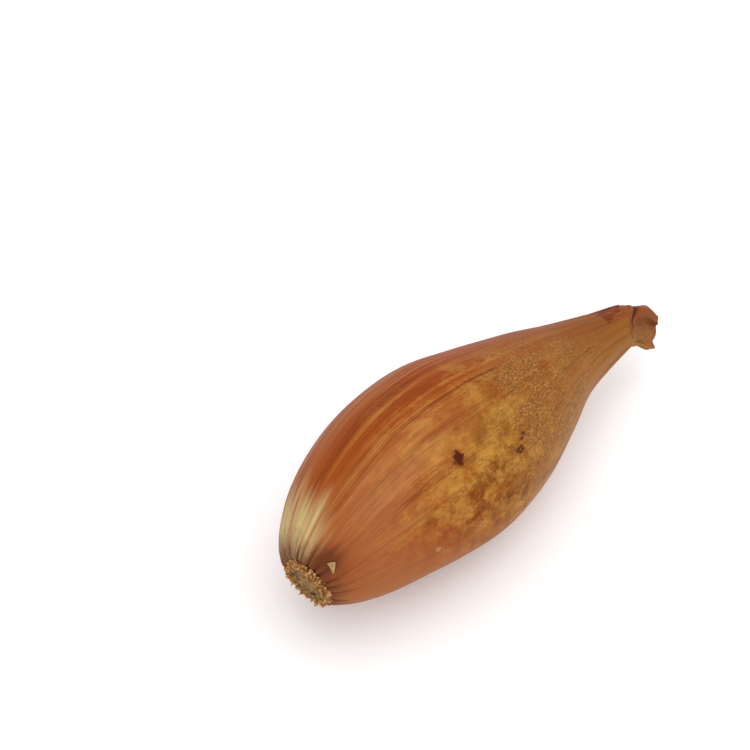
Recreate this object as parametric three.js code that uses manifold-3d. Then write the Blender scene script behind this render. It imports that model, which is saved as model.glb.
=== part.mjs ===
// A long pink shallot lying on its side: the bulb in its dry skin, the corky root plate with the stubs of its
// roots, the dried neck, and a flake of skin lying loose beside the roots.
// Millimetres, +Z up. +X runs from the root plate to the neck. The bulb lies on a small flat spot at z = 0,
// and the origin is at the bottom centre of the whole shallot's box.
import * as THREE from "three";
import { mergeVertices } from "three/addons/utils/BufferGeometryUtils.js";
import Module from "manifold-3d";

// The bulb.
const BELLY_RADIUS = 21.6;
const SKIN_LENGTH = 103; // from the seat of the root plate to the end of the skin on the neck
const SPINE_REACH = 112; // the spine runs on past the skin, through the dried neck
const FLAT_DEPTH = 0.5; // how deep the flat spot cuts into the belly
const GAP = 0.3; // between pieces that lie against each other

// The bulb's half outline: [share of SKIN_LENGTH, share of BELLY_RADIUS].
const OUTLINE = [
  [0, 0.326],
  [0.02, 0.434],
  [0.06, 0.576],
  [0.125, 0.734],
  [0.215, 0.875],
  [0.32, 0.975],
  [0.445, 1],
  [0.58, 0.865],
  [0.71, 0.66],
  [0.815, 0.47],
  [0.91, 0.345],
  [1, 0.252],
];
const OUTLINE_STEPS = 4; // rings to each span of the outline
const ROUND_SIDES = 48;

// The spine, at even steps along X: [how far left, how high].
const SPINE = [
  [3.3, 19.9],
  [4.1, 22],
  [1.9, 20.4],
  [0.8, 19.1],
  [-2.9, 15.9],
];

// The root plate: a shallow dish with a broad rim, and a ring of root stubs leaning out of the rim.
const PLATE_RADIUS = 5.3;
const PLATE_DEPTH = 1.1;
const PLATE_BEVEL = 0.5; // how far its two faces draw in from its widest line
const PLATE_WIDEST = 0.45; // how high that line runs
const RIM_WIDTH = 1.4; // from its edge in to the dish
const DISH_DEPTH = 0.5;
const PLATE_RIGHT = 1; // how far right of the middle of the bulb's end it grows
const STUB_COUNT = 24;
const STUB_LENGTH = 1.9;
const STUB_RADIUS = 0.55;
const STUB_SPLAY = 1.1; // radians out from the plate's own axis
const STUB_SIDES = 6;

// The dried neck: a flattened sleeve that stands on edge and turns right and down out of the skin's end.
const NECK_LENGTH = 12.2;
const NECK_HEADING = new THREE.Vector3(0.6, -0.64, -0.64).normalize();
const NECK_BASE = { tall: 4.9, thick: 3.7 }; // half sizes of its section
const NECK_MOUTH = { tall: 5.4, thick: 3.2 };
const NECK_LEAN = 0.28; // radians that its tall side leans left
const NECK_PINCH = 0.45; // how far its sides press in between the two lobes, as a share of its thickness
const NECK_PINCH_POWER = 4; // the higher, the narrower the pressed strip
const NECK_RIM_WAVE = 0.2; // how far the lobes reach past the middle of the mouth
const NECK_OVERHANG = 0.9; // how far the upper lobe reaches past the lower one
const NECK_STEPS = 10;
const NECK_SIDES = 32;

// The flake: a thin triangle.
const FLAKE_PLACE = 0.1025; // as a share of the outline's spans
const FLAKE_ROUND = 0.68; // radians round from the top, towards the right
const FLAKE_TURN = 1.08; // radians that its point turns from the root plate towards the right
const FLAKE_WIDTH = 2;
const FLAKE_LENGTH = 2.6;
const FLAKE_THICKNESS = 0.3;

const UP = new THREE.Vector3(0, 0, 1);
const spineStep = SPINE_REACH / (SPINE.length - 1);
const spine = new THREE.CatmullRomCurve3(
  SPINE.map(([left, high], i) => new THREE.Vector3(i * spineStep, left, high)),
  false,
  "catmullrom",
);
const outline = new THREE.SplineCurve(
  OUTLINE.map(([along, wide]) => new THREE.Vector2(wide * BELLY_RADIUS, along * SKIN_LENGTH)),
);

// The place on the spine at a distance along X, with its own forward, right and up directions.
function spineFrame(along) {
  const centre = spine.getPoint(along / SPINE_REACH);
  const forward = spine.getTangent(along / SPINE_REACH);
  const right = forward.clone().cross(UP).normalize();
  const up = right.clone().cross(forward);
  return { centre, forward, right, up };
}

// A point beside the spine: so far along, so far round from the top towards the right, and so far out.
function besideSpine(along, round, out) {
  const { centre, right, up } = spineFrame(along);
  return centre
    .addScaledVector(right, Math.sin(round) * out)
    .addScaledVector(up, Math.cos(round) * out);
}

// A lathed shape with each vertex moved to where place(along, round, out) says.
function reshapedLathe(profile, sides, place) {
  const geometry = new THREE.LatheGeometry(profile, sides);
  const points = geometry.getAttribute("position");
  for (let i = 0; i < points.count; i++) {
    const [x, y, z] = [points.getX(i), points.getY(i), points.getZ(i)];
    points.setXYZ(i, ...place(y, Math.atan2(x, z), Math.hypot(x, z)));
  }
  return geometry;
}

const wasm = await Module();
wasm.setup();

function toSolid(geometry) {
  const bare = geometry.clone();
  bare.deleteAttribute("normal");
  bare.deleteAttribute("uv");
  const merged = mergeVertices(bare);
  const mesh = new wasm.Mesh({
    numProp: 3,
    vertProperties: merged.getAttribute("position").array,
    triVerts: new Uint32Array(merged.index.array),
  });
  return new wasm.Manifold(mesh);
}

function toGeometry(solid) {
  const { vertProperties, triVerts } = solid.getMesh();
  const geometry = new THREE.BufferGeometry();
  geometry.setAttribute("position", new THREE.BufferAttribute(vertProperties, 3));
  geometry.setIndex(new THREE.BufferAttribute(triVerts, 1));
  geometry.computeVertexNormals();
  return geometry;
}

// The outline turned round the spine, with the flat spot cut off underneath.
function bulbGeometry() {
  const curve = outline.getPoints((OUTLINE.length - 1) * OUTLINE_STEPS);
  const profile = [new THREE.Vector2(0, 0), ...curve, new THREE.Vector2(0, SKIN_LENGTH)];
  const body = toSolid(reshapedLathe(profile, ROUND_SIDES, besideSpine));
  const slab = new THREE.BoxGeometry(2 * SKIN_LENGTH, 4 * BELLY_RADIUS, 2 * FLAT_DEPTH);
  slab.translate(0, 0, body.boundingBox().min[2]);
  return toGeometry(body.subtract(toSolid(slab)));
}

// The dish with its stubs, growing along +Y.
function rootPlateGeometry() {
  const profile = [
    [0, 0],
    [PLATE_RADIUS - PLATE_BEVEL, 0],
    [PLATE_RADIUS, PLATE_WIDEST],
    [PLATE_RADIUS - PLATE_BEVEL, PLATE_DEPTH],
    [PLATE_RADIUS - RIM_WIDTH, PLATE_DEPTH],
    [0, PLATE_DEPTH - DISH_DEPTH],
  ].map(([out, along]) => new THREE.Vector2(out, along));
  let solid = toSolid(new THREE.LatheGeometry(profile, 2 * STUB_COUNT));
  for (let i = 0; i < STUB_COUNT; i++) {
    const stub = new THREE.ConeGeometry(STUB_RADIUS, STUB_LENGTH, STUB_SIDES);
    stub.translate(0, STUB_LENGTH / 2, 0);
    stub.rotateX(STUB_SPLAY);
    stub.translate(0, PLATE_DEPTH / 2, PLATE_RADIUS - STUB_RADIUS);
    stub.rotateY((i / STUB_COUNT) * 2 * Math.PI);
    solid = solid.add(toSolid(stub));
  }
  return toGeometry(solid);
}

// The sleeve, closed across its base and its mouth.
function neckGeometry() {
  const { centre, forward, right, up } = spineFrame(SKIN_LENGTH);
  const path = new THREE.QuadraticBezierCurve3(
    centre.clone().addScaledVector(forward, GAP),
    centre.clone().addScaledVector(forward, NECK_LENGTH / 2),
    centre.clone().addScaledVector(forward, NECK_LENGTH / 2).addScaledVector(NECK_HEADING, NECK_LENGTH / 2),
  );
  const tall = up.multiplyScalar(Math.cos(NECK_LEAN)).addScaledVector(right, -Math.sin(NECK_LEAN));
  const { lerp } = THREE.MathUtils;
  const place = (share, round, out) => {
    const thick = path.getTangent(share).cross(tall).normalize();
    const pinch = 1 - NECK_PINCH * share * Math.abs(Math.sin(round)) ** NECK_PINCH_POWER;
    const rim = NECK_RIM_WAVE * Math.cos(2 * round) + NECK_OVERHANG * Math.cos(round);
    return path
      .getPoint(share)
      .addScaledVector(forward, rim * share * out)
      .addScaledVector(tall, Math.cos(round) * out * lerp(NECK_BASE.tall, NECK_MOUTH.tall, share))
      .addScaledVector(thick, Math.sin(round) * out * pinch * lerp(NECK_BASE.thick, NECK_MOUTH.thick, share));
  };
  const side = Array.from({ length: NECK_STEPS + 1 }, (_, i) => new THREE.Vector2(1, i / NECK_STEPS));
  const profile = [new THREE.Vector2(0, 0), ...side, new THREE.Vector2(0, 1)];
  return reshapedLathe(profile, NECK_SIDES, place);
}

// The flake lies a gap off the skin, in the skin's own slope. Before it is turned, its point is towards the
// root plate.
function flakeGeometry() {
  const skinPoint = (place, round) => {
    const { x: out, y: along } = outline.getPoint(place);
    return besideSpine(along, round, out);
  };
  const nudge = 0.01;
  const here = skinPoint(FLAKE_PLACE, FLAKE_ROUND);
  const along = skinPoint(FLAKE_PLACE + nudge, FLAKE_ROUND).sub(here).normalize();
  const around = skinPoint(FLAKE_PLACE, FLAKE_ROUND + nudge).sub(here).normalize();
  const outward = around.clone().cross(along);
  const triangle = new THREE.Shape([
    new THREE.Vector2(0, -FLAKE_LENGTH / 2),
    new THREE.Vector2(FLAKE_WIDTH / 2, FLAKE_LENGTH / 2),
    new THREE.Vector2(-FLAKE_WIDTH / 2, FLAKE_LENGTH / 2),
  ]);
  const geometry = new THREE.ExtrudeGeometry(triangle, { depth: FLAKE_THICKNESS, bevelEnabled: false });
  geometry.rotateZ(FLAKE_TURN);
  geometry.applyMatrix4(new THREE.Matrix4().makeBasis(around, along, outward));
  const seat = here.addScaledVector(outward, GAP);
  return geometry.translate(...seat);
}

function piece(name, geometry, color, roughness) {
  const material = new THREE.MeshStandardMaterial({ color, roughness, metalness: 0 });
  const mesh = new THREE.Mesh(geometry, material);
  mesh.name = name;
  return mesh;
}

const bulb = piece("bulb", bulbGeometry(), 0xab6c3f, 0.45);
const dryNeck = piece("dry_neck", neckGeometry(), 0x895524, 0.65);
const skinFlake = piece("skin_flake", flakeGeometry(), 0xb98f5f, 0.6);
const rootPlate = piece("root_plate", rootPlateGeometry(), 0x886033, 0.9);
const seat = spineFrame(0);
rootPlate.position
  .copy(seat.centre)
  .addScaledVector(seat.forward, -GAP)
  .addScaledVector(seat.right, PLATE_RIGHT);
rootPlate.quaternion.setFromUnitVectors(new THREE.Vector3(0, 1, 0), seat.forward.negate());

const shallot = new THREE.Group();
shallot.add(bulb, rootPlate, dryNeck, skinFlake);
const box = new THREE.Box3().setFromObject(shallot);
const middle = box.getCenter(new THREE.Vector3());
shallot.position.set(-middle.x, -middle.y, -box.min.z);

export default shallot;
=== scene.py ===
"""A long pink shallot in its dry skin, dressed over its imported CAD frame.

Each sub-assembly is a class that holds its sizes and builds its own mesh, and each finish is a class that
builds its own material. Sizes are in millimetres and angles in degrees unless a comment says otherwise, and
every mesh is in metres, in the part's frame: +X from the root plate to the neck, +Y to the left, +Z up.
"""

import logging
import math
from dataclasses import dataclass, field
from enum import Enum
from functools import partial
from typing import Any, Sequence

import bpy
import numpy as np
from mathutils import Matrix, Vector


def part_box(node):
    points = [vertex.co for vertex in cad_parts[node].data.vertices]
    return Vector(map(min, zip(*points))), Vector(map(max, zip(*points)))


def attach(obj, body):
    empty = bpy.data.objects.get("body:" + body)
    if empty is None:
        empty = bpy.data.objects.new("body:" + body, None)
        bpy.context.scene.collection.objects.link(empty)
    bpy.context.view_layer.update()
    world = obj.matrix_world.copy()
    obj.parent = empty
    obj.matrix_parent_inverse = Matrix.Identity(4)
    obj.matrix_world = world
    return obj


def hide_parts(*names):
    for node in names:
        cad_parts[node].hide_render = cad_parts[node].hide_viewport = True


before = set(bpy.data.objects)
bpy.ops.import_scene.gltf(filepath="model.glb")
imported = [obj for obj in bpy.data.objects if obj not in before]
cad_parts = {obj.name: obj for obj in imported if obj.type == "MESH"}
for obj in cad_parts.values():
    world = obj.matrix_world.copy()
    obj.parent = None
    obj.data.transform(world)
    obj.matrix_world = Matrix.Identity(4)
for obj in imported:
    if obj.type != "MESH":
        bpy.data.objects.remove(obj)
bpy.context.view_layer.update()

MM = 0.001
BODY = "root"
log = logging.getLogger("shallot")

# The skin's own coordinates, stored on its mesh as the attribute "skin": a point's direction round the bulb
# on a circle of this radius, and its distance from the root plate, all in millimetres. Patterns laid out in
# them run lengthwise and have no seam.
SKIN_CIRCLE = 12.0
SKIN_DEPTH = (0.86, 0.78, 0.58)  # how much red, green and blue the thin skin lets through
RGBA = {"data_type": "RGBA"}
MIDDLE_GREY = (0.5, 0.5, 0.5)  # the middle of a coloured noise, taken off to leave a swing each way from 0

Socket = bpy.types.NodeSocket


class Slot(Enum):
    """The record's material slots."""

    DRY_SKIN = "dry_skin"
    CORK_AND_ROOTS = "cork_and_roots"
    DRIED_LEAF = "dried_leaf"
    LOOSE_SKIN = "loose_skin"


# ------------------------------------------------------------------------------
# Nodes, colours and meshes
# ------------------------------------------------------------------------------


def linear(colour: str) -> tuple[float, float, float, float]:
    """Turns an sRGB colour into the linear one that shaders take.

    Args:
        colour: six hexadecimal digits after a hash, such as "#b2734d".

    Returns:
        Linear red, green and blue, and an alpha of 1.
    """
    parts = [int(colour[i : i + 2], 16) / 255 for i in (1, 3, 5)]
    red, green, blue = (c / 12.92 if c <= 0.04045 else ((c + 0.055) / 1.055) ** 2.4 for c in parts)
    return red, green, blue, 1.0


def deepened(colour: str) -> tuple[float, float, float, float]:
    """Turns a skin colour into linear light, deepened as thin dry skin is over the layers beneath it.

    Args:
        colour: an sRGB hex colour.

    Returns:
        The linear colour with alpha.
    """
    red, green, blue, alpha = linear(colour)
    return red * SKIN_DEPTH[0], green * SKIN_DEPTH[1], blue * SKIN_DEPTH[2], alpha


def add_node(
    tree: bpy.types.NodeTree,
    kind: str,
    settings: dict[str, Any] | None = None,
    inputs: dict[int | str, Any] | None = None,
) -> bpy.types.Node:
    """Adds a node with its settings and its links.

    Args:
        tree: the node tree that it goes in.
        kind: the node's type, such as "ShaderNodeMath".
        settings: the node's properties, by name.
        inputs: for each input, by place or name, the socket that feeds it or the value that it holds.

    Returns:
        The new node.
    """
    node = tree.nodes.new(kind)
    for name, value in (settings or {}).items():
        setattr(node, name, value)
    for key, value in (inputs or {}).items():
        if isinstance(value, Socket):
            tree.links.new(value, node.inputs[key])
        else:
            node.inputs[key].default_value = value
    return node


def new_material(name: str) -> tuple[bpy.types.Material, partial]:
    """Starts an empty material.

    Args:
        name: the material's name.

    Returns:
        The material, and add_node bound to its tree.
    """
    material = bpy.data.materials.new(name)
    material.use_nodes = True
    material.node_tree.nodes.clear()
    return material, partial(add_node, material.node_tree)


def new_geometry_tree(
    name: str, inputs: Sequence[tuple[str, str, Any]]
) -> tuple[bpy.types.NodeTree, partial, bpy.types.Node]:
    """Starts a geometry node tree that takes a geometry and the named inputs, and gives a geometry.

    Args:
        name: the tree's name.
        inputs: (name, socket type, default) of each input after the geometry.

    Returns:
        The tree, add_node bound to it, and its group input node.
    """
    tree = bpy.data.node_groups.new(name, "GeometryNodeTree")
    tree.interface.new_socket("Geometry", in_out="INPUT", socket_type="NodeSocketGeometry")
    tree.interface.new_socket("Geometry", in_out="OUTPUT", socket_type="NodeSocketGeometry")
    for label, kind, default in inputs:
        socket = tree.interface.new_socket(label, in_out="INPUT", socket_type=kind)
        if default is not None:
            socket.default_value = default
    node = partial(add_node, tree)
    return tree, node, node("NodeGroupInput")


def apply_tree(piece: bpy.types.Object, tree: bpy.types.NodeTree, values: dict[str, Any]) -> None:
    """Runs a geometry node tree on a piece and keeps the plain mesh that it gives.

    Args:
        piece: the object, whose mesh is replaced.
        tree: the geometry node tree.
        values: the tree's inputs, by name.
    """
    modifier = piece.modifiers.new(tree.name, "NODES")
    modifier.node_group = tree
    for item in tree.interface.items_tree:
        if item.in_out == "INPUT" and item.name in values:
            modifier[item.identifier] = values[item.name]
    piece.update_tag()
    graph = bpy.context.evaluated_depsgraph_get()
    mesh = bpy.data.meshes.new_from_object(
        piece.evaluated_get(graph), preserve_all_data_layers=True, depsgraph=graph
    )
    piece.modifiers.clear()
    piece.data = mesh
    mesh.name = piece.name


def add_piece(mesh: bpy.types.Mesh) -> bpy.types.Object:
    """Puts a mesh in the scene as an object of the same name, at the origin.

    Args:
        mesh: the mesh, with its place in its points.

    Returns:
        The object.
    """
    piece = bpy.data.objects.new(mesh.name, mesh)
    bpy.context.scene.collection.objects.link(piece)
    return piece


def ring_mesh(name: str, rings: np.ndarray, material: bpy.types.Material) -> bpy.types.Mesh:
    """Builds one closed surface from rings of points, each end drawn together at a pole.

    Args:
        name: the mesh's name.
        rings: points in millimetres, as [ring, place round the ring, axis].
        material: the mesh's material.

    Returns:
        The mesh, in metres, with a UV map: round the rings, and along them.
    """
    count, sides = rings.shape[:2]
    points = np.vstack([rings.reshape(-1, 3), rings[0].mean(0), rings[-1].mean(0)])
    at = np.arange(count * sides).reshape(count, sides)
    after = np.roll(at, -1, axis=1)
    quads = np.stack([at[:-1], after[:-1], after[1:], at[1:]], axis=-1).reshape(-1, 4)
    first, last = count * sides, count * sides + 1
    faces = quads.tolist()
    faces += [[first, int(b), int(a)] for a, b in zip(at[0], after[0])]
    faces += [[last, int(a), int(b)] for a, b in zip(at[-1], after[-1])]
    mesh = bpy.data.meshes.new(name)
    mesh.from_pydata((points * MM).tolist(), [], faces)
    if signed_volume(mesh) < 0:
        mesh.flip_normals()
    mesh.materials.append(material)
    mesh.shade_smooth()
    map_rings(mesh, count, sides)
    mesh.validate()
    return mesh


def signed_volume(mesh: bpy.types.Mesh) -> float:
    """Six times the volume inside a closed mesh.

    Args:
        mesh: the mesh.

    Returns:
        The volume, negative where its faces point inwards.
    """
    mesh.calc_loop_triangles()
    corners = np.array([t.vertices[:] for t in mesh.loop_triangles])
    points = np.array([v.co[:] for v in mesh.vertices])
    a, b, c = (points[corners[:, i]] for i in range(3))
    return float(np.einsum("ij,ij->i", a, np.cross(b, c)).sum())


def map_rings(mesh: bpy.types.Mesh, count: int, sides: int) -> None:
    """Gives a ring mesh its UV map.

    Args:
        mesh: the mesh, whose points are numbered ring by ring with the two poles last.
        count: how many rings it has.
        sides: how many points a ring has.
    """
    corners = np.zeros(len(mesh.loops), np.int64)
    mesh.loops.foreach_get("vertex_index", corners)
    around = (corners % sides) / sides
    along = np.minimum(corners // sides, count - 1) / (count - 1)
    along[corners == count * sides] = 0
    for polygon in mesh.polygons:
        mine = slice(polygon.loop_start, polygon.loop_start + polygon.loop_total)
        if around[mine].max() - around[mine].min() > 0.5:
            around[mine][around[mine] < 0.5] += 1
    layer = mesh.uv_layers.new(name="rings")
    layer.data.foreach_set("uv", np.stack([around, along], axis=-1).astype(np.float32).ravel())


def store(mesh: bpy.types.Mesh, name: str, values: np.ndarray) -> None:
    """Stores a number or a vector for each point of a mesh, under a name that materials read.

    Args:
        mesh: the mesh.
        name: the attribute's name.
        values: one number or one row of three for each point.
    """
    kind, key = ("FLOAT", "value") if values.ndim == 1 else ("FLOAT_VECTOR", "vector")
    attribute = mesh.attributes.new(name, kind, "POINT")
    attribute.data.foreach_set(key, values.astype(np.float32).ravel())


def smoothstep(values: np.ndarray, low: float, high: float) -> np.ndarray:
    """Rises smoothly from 0 at low to 1 at high."""
    share = np.clip((values - low) / (high - low), 0, 1)
    return share * share * (3 - 2 * share)


# ------------------------------------------------------------------------------
# The bulb's form, which the other pieces are placed by
# ------------------------------------------------------------------------------


def catmull_rom(points: np.ndarray, share: np.ndarray) -> np.ndarray:
    """A smooth curve through points that are evenly spaced in time.

    Args:
        points: the points, as rows.
        share: where on the curve to look, from 0 at its start to 1 at its end.

    Returns:
        The places on the curve, as rows.
    """
    ends = np.vstack([2 * points[0] - points[1], points, 2 * points[-1] - points[-2]])
    place = np.clip(share, 0, 1) * (len(points) - 1)
    span = np.minimum(place.astype(int), len(points) - 2)
    t = (place - span)[:, None]
    before, start, end, after = (ends[span + i] for i in range(4))
    leaving, arriving = (end - before) / 2, (after - start) / 2
    bend = 2 * start - 2 * end + leaving + arriving
    slope = 3 * (end - start) - 2 * leaving - arriving
    return bend * t**3 + slope * t**2 + leaving * t + start


@dataclass
class BulbForm:
    """The bulb's form: an outline turned round a bent spine, as the CAD part has it.

    A place on it is (along, around): millimetres from the seat of the root plate, and degrees round from the
    top towards the right.
    """

    belly_radius: float = 21.6
    skin_length: float = 103.0
    spine_reach: float = 112.0
    # (share of skin_length, share of belly_radius)
    outline: tuple[tuple[float, float], ...] = (
        (0, 0.326),
        (0.02, 0.434),
        (0.06, 0.576),
        (0.125, 0.734),
        (0.215, 0.875),
        (0.32, 0.975),
        (0.445, 1),
        (0.58, 0.865),
        (0.71, 0.66),
        (0.815, 0.47),
        (0.91, 0.345),
        (1, 0.252),
    )
    # At even steps along X: (how far left, how high).
    spine: tuple[tuple[float, float], ...] = ((3.3, 19.9), (4.1, 22), (1.9, 20.4), (0.8, 19.1), (-2.9, 15.9))
    shift: np.ndarray = field(default_factory=lambda: np.zeros(3))

    def __post_init__(self) -> None:
        """Moves the form from its own frame to the part's, by the CAD bulb's box."""
        along, out = self.profile(200)
        around = np.linspace(0, 360, 181)
        points = self.point(along[:, None], around[None, :], out[:, None]).reshape(-1, 3)
        low, high = (np.array(corner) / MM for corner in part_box("bulb"))
        self.shift = (low + high - points.min(0) - points.max(0)) / 2
        self.shift[2] = high[2] - points[:, 2].max()

    def profile(self, steps: int) -> tuple[np.ndarray, np.ndarray]:
        """The outline, at even steps of its own curve.

        Args:
            steps: how many places to give.

        Returns:
            The distances along, and the radii there.
        """
        scale = np.array([self.skin_length, self.belly_radius])
        curve = catmull_rom(np.array(self.outline, float) * scale, np.linspace(0, 1, steps))
        return curve[:, 0], curve[:, 1]

    def radius(self, along: np.ndarray | float) -> np.ndarray:
        """The bulb's radius at a distance along it."""
        return np.interp(along, *self.profile(400))

    def axes(self, along: np.ndarray) -> tuple[np.ndarray, np.ndarray, np.ndarray, np.ndarray]:
        """The spine's place and directions.

        Args:
            along: distances from the seat of the root plate.

        Returns:
            The centre, and the forward, right and up directions, with one more axis than along has.
        """
        along = np.asarray(along, float)
        step = self.spine_reach / (len(self.spine) - 1)
        points = np.array([(i * step, left, high) for i, (left, high) in enumerate(self.spine)])
        share, nudge = along.ravel() / self.spine_reach, 1e-3
        centre = catmull_rom(points, share) + self.shift
        forward = catmull_rom(points, share + nudge) - catmull_rom(points, share - nudge)
        forward /= np.linalg.norm(forward, axis=1, keepdims=True)
        right = np.cross(forward, (0, 0, 1))
        right /= np.linalg.norm(right, axis=1, keepdims=True)
        up = np.cross(right, forward)
        centre, forward, right, up = (v.reshape(*along.shape, 3) for v in (centre, forward, right, up))
        return centre, forward, right, up

    def point(self, along: Any, around: Any, out: Any) -> np.ndarray:
        """Points beside the spine.

        Args:
            along: distances from the seat of the root plate.
            around: degrees round from the top towards the right.
            out: distances from the spine.

        Returns:
            The points in the part's frame, in millimetres.
        """
        along, around, out = np.broadcast_arrays(along, np.radians(around), out)
        centre, _, right, up = self.axes(along)
        return centre + right * (np.sin(around) * out)[..., None] + up * (np.cos(around) * out)[..., None]

    def on_skin(self, along: Any, around: Any) -> np.ndarray:
        """Points on the skin, in millimetres."""
        return self.point(along, around, self.radius(along))


def skin_place(along: float, around: float) -> tuple[float, float, float]:
    """A place on the bulb in the skin's own coordinates."""
    angle = math.radians(around)
    return SKIN_CIRCLE * math.cos(angle), SKIN_CIRCLE * math.sin(angle), along


@dataclass(frozen=True, kw_only=True)
class Region:
    """A region of the skin with a soft, ragged edge."""

    along: float  # its middle
    around: float
    long: float  # its reach each way, millimetres along and degrees around
    wide: float
    strength: float = 1.0
    soft: float = 0.7  # the share of its reach over which it fades
    ragged: float = 1.0  # how far streaks pull its edge out of shape

    def reach(self) -> tuple[float, float, float]:
        """Its reach in the skin's own coordinates."""
        chord = 2 * SKIN_CIRCLE * math.sin(math.radians(self.wide) / 2)
        return chord, chord, self.long


@dataclass(frozen=True)
class Patch(Region):
    """A region of the skin in a colour of its own."""

    colour: str


@dataclass(frozen=True)
class Window:
    """Where the outermost skin has come away at the neck, and the redder skin under it shows."""

    start: float = 96.0  # along the bulb, and from there to the skin's end
    right: float = 23.0  # its right edge at its start, in degrees round the bulb
    slant: float = 1.5  # degrees that its right edge draws in for each millimetre
    left: float = -112.0
    edge: float = 1.6  # the width of the torn edge

    def depth(self, along: np.ndarray, around: np.ndarray) -> np.ndarray:
        """How open the window is at each place.

        Args:
            along: distances from the seat of the root plate.
            around: degrees round from the top towards the right.

        Returns:
            0 on the outer skin and 1 inside the window.
        """
        turn = (around + 180) % 360 - 180
        angle = np.radians(turn)
        start = self.start + 0.5 * np.sin(3 * angle + 1)
        right = self.right - self.slant * (along - start) + 2.5 * np.sin(2.1 * along)
        opened = smoothstep(along, start, start + self.edge)
        return opened * smoothstep(right - turn, 0, 9) * smoothstep(turn - self.left, 0, 9)


# ------------------------------------------------------------------------------
# Finishes
# ------------------------------------------------------------------------------


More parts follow.
